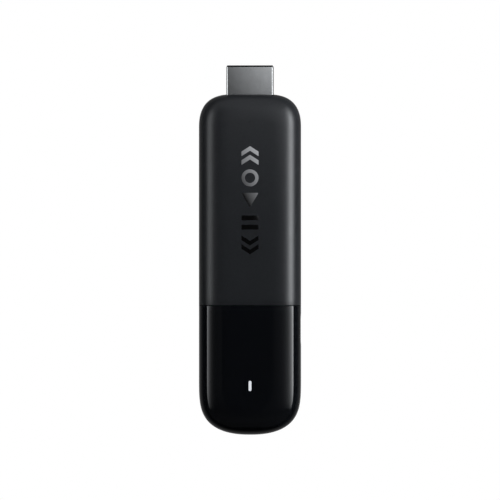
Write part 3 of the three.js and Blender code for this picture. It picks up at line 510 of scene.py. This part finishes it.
def printed_mark():
    """Plain player symbols in a column: back, record, play, pause and forward, in glossy foil."""
    z = [MARK_TOP - MARK_WIDTH / 2 - i * MARK_PITCH for i in range(5)]
    shapes = [chevron(z[0] + side * CHEVRON["offset"], 1) for side in (1, -1)]
    shapes.append(ring(z[1], MARK_WIDTH / 2, MARK_WIDTH / 2 - STROKE))
    w, h = MARK_WIDTH / 2, PLAY_HALF_HEIGHT
    shapes.append(foil_prism(((0, z[2] - h), (w, z[2] + h), (-w, z[2] + h))))
    shapes += [bar(z[3] + side * PAUSE_BAR["offset"], PAUSE_BAR["height"]) for side in (1, -1)]
    shapes += [chevron(z[4] + side * CHEVRON["offset"], -1) for side in (1, -1)]
    mark = shapes[0]
    bm = bmesh.new()
    for shape in shapes:
        bm.from_mesh(shape.data)
    bm.to_mesh(mark.data)
    bm.free()
    for shape in shapes[1:]:
        bpy.data.objects.remove(shape)
    mark.name = "printed_mark"
    smooth(mark, 30)
    return mark


# ---------------------------------------------------------------- materials

# Most of a noise pattern's values lie between these two.
NOISE_LOW, NOISE_HIGH = 0.3, 0.7


class Finish:
    """A Principled material, and short calls that add patterned values to it."""

    def __init__(self, name, color, roughness, metallic=0.0):
        self.material = bpy.data.materials.new(name)
        self.material.use_nodes = True
        self.tree = self.material.node_tree
        self.shader = self.tree.nodes["Principled BSDF"]
        self.color, self.roughness = color, roughness
        self.set("Base Color", (*color, 1))
        self.set("Roughness", roughness)
        self.set("Metallic", metallic)
        self.where = self.tree.nodes.new("ShaderNodeTexCoord").outputs["Object"]

    def set(self, socket, value):
        self.shader.inputs[socket].default_value = value

    def link(self, output, target):
        self.tree.links.new(output, target)

    def noise(self, size, detail, stretch=(1, 1, 1)):
        """Noise whose features are about one size across, in metres, longer along a stretched axis."""
        mapping = self.tree.nodes.new("ShaderNodeMapping")
        mapping.inputs["Scale"].default_value = [1 / (size * s) for s in stretch]
        self.link(self.where, mapping.inputs["Vector"])
        node = self.tree.nodes.new("ShaderNodeTexNoise")
        node.inputs["Scale"].default_value = 1.0
        node.inputs["Detail"].default_value = detail
        self.link(mapping.outputs["Vector"], node.inputs["Vector"])
        return node.outputs["Fac"]

    def between(self, value, low, high, start, end):
        node = self.tree.nodes.new("ShaderNodeMapRange")
        node.inputs["From Min"].default_value = start
        node.inputs["From Max"].default_value = end
        node.inputs["To Min"].default_value = low
        node.inputs["To Max"].default_value = high
        self.link(value, node.inputs["Value"])
        return node.outputs["Result"]

    def vary_color(self, value, share, start=NOISE_LOW, end=NOISE_HIGH):
        """Lightens and darkens the colour by a share, with a pattern."""
        node = self.tree.nodes.new("ShaderNodeMix")
        node.data_type = "RGBA"
        ends = [socket for socket in node.inputs if socket.type == "RGBA"]
        for socket, factor in zip(ends, (1 - share, 1 + share)):
            socket.default_value = (*[min(1, c * factor) for c in self.color], 1)
        result = [socket for socket in node.outputs if socket.type == "RGBA"][0]
        self.link(self.between(value, 0, 1, start, end), node.inputs["Factor"])
        self.link(result, self.shader.inputs["Base Color"])

    def vary_roughness(self, value, spread):
        low, high = self.roughness - spread, self.roughness + spread
        varied = self.between(value, low, high, NOISE_LOW, NOISE_HIGH)
        self.link(varied, self.shader.inputs["Roughness"])

    def bump(self, value, height, strength):
        node = self.tree.nodes.new("ShaderNodeBump")
        node.inputs["Distance"].default_value = height
        node.inputs["Strength"].default_value = strength
        self.link(value, node.inputs["Height"])
        self.link(node.outputs["Normal"], self.shader.inputs["Normal"])


def matte_plastic():
    finish = Finish("matte_housing", (0.041, 0.044, 0.05), 0.346)
    finish.set("Specular IOR Level", 1.0)
    grain = finish.noise(0.22 * MM, 3)
    finish.bump(grain, 0.003 * MM, 0.5)
    finish.vary_color(finish.noise(0.5 * MM, 4), 0.10)
    finish.vary_roughness(finish.noise(6 * MM, 3), 0.02)
    return finish.material


def gloss_plastic():
    finish = Finish("gloss_housing", (0.0105, 0.012, 0.0155), 0.04)
    finish.bump(finish.noise(5 * MM, 1), 0.004 * MM, 0.3)
    finish.vary_roughness(finish.noise(3 * MM, 4), 0.012)
    return finish.material


def plated_steel(name="connector_steel", color=(0.56, 0.565, 0.57), roughness=0.24, along=(1, 1, 14)):
    finish = Finish(name, color, roughness, 1.0)
    finish.bump(finish.noise(0.09 * MM, 2, along), 0.0012 * MM, 0.4)
    finish.vary_roughness(finish.noise(1.8 * MM, 4), 0.03)
    finish.vary_color(finish.noise(2.6 * MM, 4), 0.05)
    return finish.material


def lit_lens():
    finish = Finish("light_lens", (0.6, 0.62, 0.65), 0.35)
    finish.set("Emission Color", (0.93, 0.96, 1.0, 1))
    finish.set("Emission Strength", 0.62)
    finish.vary_roughness(finish.noise(0.4 * MM, 2), 0.05)
    return finish.material


def foil():
    finish = Finish("printed_foil", (0.5, 0.5, 0.51), 0.08, 1.0)
    finish.vary_roughness(finish.noise(1.5 * MM, 3), 0.02)
    finish.bump(finish.noise(0.5 * MM, 2), 0.001 * MM, 0.3)
    return finish.material


def plain(name, color, roughness, metallic=0.0, grain=0.3 * MM, height=0.01 * MM, spread=0.05):
    """A small part's finish: a fine grain in its height, roughness and colour."""
    finish = Finish(name, color, roughness, metallic)
    finish.bump(finish.noise(grain, 3), height, 0.5)
    finish.vary_roughness(finish.noise(4 * grain, 3), spread)
    finish.vary_color(finish.noise(6 * grain, 3), 0.12)
    return finish.material


def circuit_board():
    """Green solder mask with copper traces that show through as lighter lines."""
    finish = Finish("circuit_board", (0.012, 0.07, 0.035), 0.35)
    finish.set("Coat Weight", 0.4)
    cells = finish.tree.nodes.new("ShaderNodeTexVoronoi")
    cells.distance = "MANHATTAN"
    cells.inputs["Scale"].default_value = 1 / (2.2 * MM)
    finish.link(finish.where, cells.inputs["Vector"])
    finish.vary_color(cells.outputs["Distance"], 0.35, 0.25, 0.45)
    finish.bump(finish.between(cells.outputs["Distance"], 0, 1, 0.3, 0.36), 0.02 * MM, 0.5)
    return finish.material


def slot_finishes():
    return {
        "matte_housing": matte_plastic(),
        "gloss_housing": gloss_plastic(),
        "light_lens": lit_lens(),
        "foam": plain("foam", (0.012, 0.012, 0.012), 0.95, grain=0.4 * MM, height=0.08 * MM),
        "lamp": plain("lamp", (0.8, 0.8, 0.74), 0.3),
        "connector_steel": plated_steel(),
        "connector_plastic": plain("connector_plastic", (0.012, 0.012, 0.013), 0.42),
        "contact_gold": plain("contact_gold", (0.83, 0.6, 0.26), 0.22, 1.0, 0.15 * MM, 0.002 * MM),
        "circuit_board": circuit_board(),
        "screw_steel": plain("screw_steel", (0.5, 0.5, 0.5), 0.35, 1.0, 0.2 * MM, 0.004 * MM),
        "shield_steel": plated_steel("shield_steel", (0.63, 0.63, 0.62), 0.34, (14, 1, 1)),
        "chip_plastic": plain("chip_plastic", (0.018, 0.018, 0.02), 0.55, grain=0.15 * MM),
        "thermal_pad": plain("thermal_pad", (0.4, 0.46, 0.52), 0.8, grain=0.6 * MM, height=0.03 * MM),
        "spreader_aluminium": plated_steel("spreader_aluminium", (0.78, 0.79, 0.8), 0.38, (14, 1, 1)),
        "tape": plain("tape", (0.02, 0.02, 0.02), 0.6),
        "inductor_ferrite": plain("inductor_ferrite", (0.05, 0.05, 0.052), 0.6, grain=0.25 * MM),
        "capacitor_ceramic": plain("capacitor_ceramic", (0.35, 0.24, 0.14), 0.45, grain=0.3 * MM),
        "antenna_brass": plain("antenna_brass", (0.75, 0.66, 0.42), 0.28, 1.0, 0.2 * MM, 0.003 * MM),
    }


def dress(piece, material, *nodes, slot):
    """Gives a piece its material, ties it to the object and hides the CAD nodes it stands for."""
    piece.data.materials.clear()
    piece.data.materials.append(material)
    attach(piece, ROOT)
    if nodes:
        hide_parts(*nodes)


# ---------------------------------------------------------------- studio

PICTURE_WIDTH = 147.0 * MM
MIDDLE_Z = -45.9 * MM
LENS, SENSOR = 600.0, 36.0
CAMERA_DISTANCE = PICTURE_WIDTH * LENS / SENSOR
FLOOR = {"half_width": 1.2, "near": -1.2, "far": 0.45, "z": -0.135}
CARD_RADIUS, CARD_STEPS = 0.5, (24, 12)
COOL = (0.95, 0.975, 1.0)

# Glowing cards. Azimuths and elevations are in degrees; azimuth 0 is in front, and 90 at the right.
PANEL_HEIGHTS, PANEL_FADE = (-32, 32), (0.05, 0.5)
RIGHT_PANEL = {"azimuths": (3, 78.5), "degrees_per_e": 11.8, "peak": 10.2, "least": 0.02}
LEFT_PANEL = {"azimuths": (-12, -75.5), "power": 5.5, "peak": 4.2, "least": 0.05}
MATTE_BOXES = {"right_box": ((42, 84), 5.2), "left_box": ((-39, -80), 1.5)}
# Flat cards. The plug's light rises between two heights, up to a factor. The mark's light starts at an
# edge point and grows along a direction, over a distance.
PLUG_RISE = (-0.006, 0.012, 1.32)
MARK_EDGE, MARK_EDGE_WAY, MARK_GROWTH = Vector((-0.0019, -0.0288)), Vector((0.8875, 0.461)), 0.0139


def camera():
    data = bpy.data.cameras.new("camera")
    data.lens, data.sensor_width = LENS, SENSOR
    data.clip_start, data.clip_end = 0.01, 20
    view = bpy.data.objects.new("camera", data)
    bpy.context.scene.collection.objects.link(view)
    view.location = (0, -CAMERA_DISTANCE, MIDDLE_Z)
    view.rotation_euler = (math.pi / 2, 0, 0)
    bpy.context.scene.camera = view


def floor():
    """A plain pale floor, below the picture's lower edge. It glows enough to look pale from above."""
    half, near, far, z = FLOOR.values()
    corners = [(-half, near, z), (half, near, z), (half, far, z), (-half, far, z)]
    mesh = bpy.data.meshes.new("floor")
    mesh.from_pydata(corners, [], [(0, 1, 2, 3)])
    piece = new_object("floor", mesh)
    finish = Finish("floor", (0.8, 0.8, 0.8), 0.9)
    finish.set("Emission Color", (1, 1, 1, 1))
    finish.set("Emission Strength", 0.75)
    piece.data.materials.append(finish.material)
    piece.visible_glossy = False
    piece.visible_diffuse = False


class Glow:
    """A see-through glowing material. Its strength comes from the card's own U and V, from 0 to 1."""

    def __init__(self, name):
        self.material = bpy.data.materials.new(name)
        self.material.use_nodes = True
        self.tree = self.material.node_tree
        self.tree.nodes.clear()
        place = self.tree.nodes.new("ShaderNodeUVMap")
        place.uv_map = "card"
        split = self.tree.nodes.new("ShaderNodeSeparateXYZ")
        self.tree.links.new(place.outputs["UV"], split.inputs["Vector"])
        self.u, self.v = split.outputs["X"], split.outputs["Y"]
        self.glow = self.tree.nodes.new("ShaderNodeEmission")
        self.glow.inputs["Color"].default_value = (*COOL, 1)
        clear = self.tree.nodes.new("ShaderNodeBsdfTransparent")
        both = self.tree.nodes.new("ShaderNodeAddShader")
        output = self.tree.nodes.new("ShaderNodeOutputMaterial")
        self.tree.links.new(self.glow.outputs["Emission"], both.inputs[0])
        self.tree.links.new(clear.outputs["BSDF"], both.inputs[1])
        self.tree.links.new(both.outputs["Shader"], output.inputs["Surface"])

    def math(self, operation, *values):
        node = self.tree.nodes.new("ShaderNodeMath")
        node.operation = operation
        for socket, value in zip(node.inputs, values):
            if isinstance(value, (int, float)):
                socket.default_value = value
            else:
                self.tree.links.new(value, socket)
        return node.outputs["Value"]

    def ramp(self, value, start, end, low=0.0, high=1.0, soft=True):
        node = self.tree.nodes.new("ShaderNodeMapRange")
        node.interpolation_type = "SMOOTHSTEP" if soft else "LINEAR"
        sockets = ("From Min", "From Max", "To Min", "To Max")
        for socket, number in zip(sockets, (start, end, low, high)):
            node.inputs[socket].default_value = number
        self.tree.links.new(value, node.inputs["Value"])
        return node.outputs["Result"]

    def strength(self, value):
        self.tree.links.new(value, self.glow.inputs["Strength"])


def link(light, pieces, only=True):
    """Lets a card light only these pieces, or everything but them."""
    group = bpy.data.collections.new(light.name + "_pieces")
    for piece in pieces:
        group.objects.link(piece)
    for item in group.collection_objects:
        item.light_linking.link_state = "INCLUDE" if only else "EXCLUDE"
    light.light_linking.receiver_collection = group


def glowing(name, points, faces, spots, glow):
    """A glowing sheet that the camera doesn't see, with its own (u, v) at each face corner."""
    mesh = bpy.data.meshes.new(name)
    mesh.from_pydata(points, [], faces)
    layer = mesh.uv_layers.new(name="card")
    for loop, spot in zip(layer.data, spots):
        loop.uv = spot
    piece = new_object(name, mesh)
    piece.data.materials.append(glow.material)
    piece.visible_camera = False
    piece.visible_shadow = False
    return piece


def dome_card(name, azimuths, elevations, glow):
    """A card that is part of a ball round the object. U runs with the azimuth, V with the elevation."""
    across, up = CARD_STEPS
    points = []
    for j in range(up + 1):
        elevation = math.radians(elevations[0] + (elevations[1] - elevations[0]) * j / up)
        flat, height = CARD_RADIUS * math.cos(elevation), CARD_RADIUS * math.sin(elevation)
        for i in range(across + 1):
            azimuth = math.radians(azimuths[0] + (azimuths[1] - azimuths[0]) * i / across)
            points.append((flat * math.sin(azimuth), -flat * math.cos(azimuth), MIDDLE_Z + height))
    faces, spots = [], []
    for j in range(up):
        for i in range(across):
            a = j * (across + 1) + i
            faces.append((a, a + 1, a + across + 2, a + across + 1))
            spots += [(x / across, y / up) for x, y in ((i, j), (i + 1, j), (i + 1, j + 1), (i, j + 1))]
    return glowing(name, points, faces, spots, glow)


def sheet(name, y, corners, start, end, low, high, rise=None):
    """A flat upright card in front of the object. Its light grows from start to end, both (x, z). A
    rise (low z, high z, top factor) also makes it grow with height."""
    glow = Glow(name)
    level = glow.ramp(glow.u, 0, 1, low, high, soft=False)
    if rise:
        level = glow.math("MULTIPLY", level, glow.ramp(glow.v, 0, 1, 0, rise[2], soft=False))
    glow.strength(level)
    way = Vector(end) - Vector(start)
    foot, head = rise[:2] if rise else (0, 1)
    spots = []
    for corner in corners:
        along = (Vector(corner) - Vector(start)).dot(way) / way.length_squared
        spots.append((along, (corner[1] - foot) / (head - foot)))
    points = [(x, y, z) for x, z in corners]
    return glowing(name, points, [tuple(range(len(corners)))], spots, glow)


def world():
    """White to the camera. To everything else, a dim studio with a lighter wall behind the object."""
    scene = bpy.context.scene
    scene.world = bpy.data.worlds.new("studio")
    scene.world.use_nodes = True
    tree = scene.world.node_tree
    tree.nodes.clear()
    place = tree.nodes.new("ShaderNodeTexCoord")
    split = tree.nodes.new("ShaderNodeSeparateXYZ")
    fade = tree.nodes.new("ShaderNodeMapRange")
    fade.inputs["From Min"].default_value = 0.3
    fade.inputs["From Max"].default_value = 0.95
    fade.inputs["To Min"].default_value = 0.004
    fade.inputs["To Max"].default_value = 0.2
    seen = tree.nodes.new("ShaderNodeLightPath")
    blend = tree.nodes.new("ShaderNodeMixShader")
    dim = tree.nodes.new("ShaderNodeBackground")
    white = tree.nodes.new("ShaderNodeBackground")
    white.inputs["Strength"].default_value = 1.0
    white.inputs["Color"].default_value = (1, 1, 1, 1)
    dim.inputs["Color"].default_value = (1, 1, 1, 1)
    output = tree.nodes.new("ShaderNodeOutputWorld")
    tree.links.new(place.outputs["Generated"], split.inputs["Vector"])
    tree.links.new(split.outputs["Y"], fade.inputs["Value"])
    tree.links.new(fade.outputs["Result"], dim.inputs["Strength"])
    tree.links.new(seen.outputs["Is Camera Ray"], blend.inputs["Fac"])
    tree.links.new(dim.outputs["Background"], blend.inputs[1])
    tree.links.new(white.outputs["Background"], blend.inputs[2])
    tree.links.new(blend.outputs["Shader"], output.inputs["Surface"])


def polished_lights(matte_pieces, sleeve):
    """Soft boxes for the glossy and metal pieces: brightest at their outer edges, like graded panels."""
    glow = Glow("right_panel")
    start, end = RIGHT_PANEL["azimuths"]
    growth = math.exp((end - start) / RIGHT_PANEL["degrees_per_e"])
    grown = glow.math("POWER", growth, glow.math("SUBTRACT", glow.u, 1.0))
    level = glow.math("MULTIPLY_ADD", grown, RIGHT_PANEL["peak"], RIGHT_PANEL["least"])
    glow.strength(glow.math("MULTIPLY", level, glow.ramp(glow.v, *PANEL_FADE, soft=False)))
    panel = dome_card("right_panel", (start, end), PANEL_HEIGHTS, glow)
    link(panel, matte_pieces + [sleeve], only=False)
    glow = Glow("left_panel")
    grown = glow.math("POWER", glow.u, LEFT_PANEL["power"])
    level = glow.math("MULTIPLY_ADD", grown, LEFT_PANEL["peak"], LEFT_PANEL["least"])
    glow.strength(glow.math("MULTIPLY", level, glow.ramp(glow.v, *PANEL_FADE, soft=False)))
    panel = dome_card("left_panel", LEFT_PANEL["azimuths"], PANEL_HEIGHTS, glow)
    link(panel, matte_pieces, only=False)
    glow = Glow("low_fill")
    glow.strength(glow.ramp(glow.v, 1, 0.5, 0.0, 0.035))
    link(dome_card("low_fill", (-90, 90), (-80, -15), glow), matte_pieces, only=False)


def matte_lights(matte_pieces):
    """Broader soft boxes for the matte covers."""
    for name, (azimuths, peak) in MATTE_BOXES.items():
        glow = Glow(name)
        bump = glow.math("MULTIPLY", glow.ramp(glow.u, 0, 0.5), glow.ramp(glow.u, 1, 0.55))
        fade = glow.math("MULTIPLY", glow.ramp(glow.v, 0, 0.42), glow.ramp(glow.v, 1, 0.6))
        glow.strength(glow.math("MULTIPLY", glow.math("MULTIPLY", bump, fade), peak))
        link(dome_card(name, azimuths, (-30, 52), glow), matte_pieces)
    corners = ((-0.05, -0.015), (0.1, -0.015), (0.1, 0.1), (-0.05, 0.1))
    link(sheet("top_box", -0.1, corners, (-0.03, 0.0), (0.045, 0.01), 0.02, 0.36), matte_pieces)
    glow = Glow("overhead")
    glow.strength(glow.ramp(glow.v, 1, 0.6, 0.0, 0.2))
    link(dome_card("overhead", (-90, 90), (48, 115), glow), matte_pieces)


def front_lights(mark, sleeve):
    """Graded sheets and side strips that the foil mark and the plug's sleeve reflect."""
    corners = ((-0.006, -0.0225), (0.006, -0.0424), (0.02, -0.0424), (0.02, -0.004), (-0.006, -0.004))
    end = MARK_EDGE + MARK_EDGE_WAY * MARK_GROWTH
    link(sheet("mark_sheet", -0.03, corners, MARK_EDGE, end, 0.04, 1.06), [mark])
    corners = ((-0.03, -0.02), (0.035, -0.02), (0.035, 0.035), (-0.03, 0.035))
    start, end = (-0.0102, 0), (0.0298, 0)
    link(sheet("plug_sheet", -0.06, corners, start, end, 0.0, 1.57, PLUG_RISE), [sleeve])
    for side, peak in ((-1, 1.2), (1, 3.0)):
        glow = Glow("plug_strip")
        glow.strength(glow.ramp(glow.u, 0, 0.3, 0, peak))
        link(dome_card("plug_strip", (28 * side, 64 * side), (-20, 25), glow), [sleeve])
        glow = Glow("mark_side")
        glow.strength(glow.ramp(glow.u, 0, 0.3, 0, 0.3))
        link(dome_card("mark_side", (14 * side, 85 * side), (-60, 40), glow), [mark])


# ---------------------------------------------------------------- assembly

camera()
floor()
world()
bpy.context.scene.view_settings.view_transform = "Standard"

finishes = slot_finishes()
slots = {part["node"]: part["material_slot"] for part in frame["record"]["subparts"]}
for node, piece in frame["nodes"].items():
    piece.data.materials.clear()
    piece.data.materials.append(finishes[slots[node]])

upper, lower, back = housing()
sleeve = plug_sleeve()
mark = printed_mark()
dress(upper, finishes["matte_housing"], "front_cover", slot="matte_housing")
dress(lower, finishes["gloss_housing"], "gloss_cover", slot="gloss_housing")
dress(back, finishes["matte_housing"], "rear_cover", slot="matte_housing")
dress(sleeve, finishes["connector_steel"], "hdmi_shell", slot="connector_steel")
dress(light_lens(), finishes["light_lens"], "light_pipe", slot="light_lens")
dress(socket_sleeve(), finishes["connector_steel"], "usb_shell", slot="connector_steel")
dress(mark, foil(), slot="gloss_housing")
polished_lights([upper, back], sleeve)
matte_lights([upper, back])
front_lights(mark, sleeve)
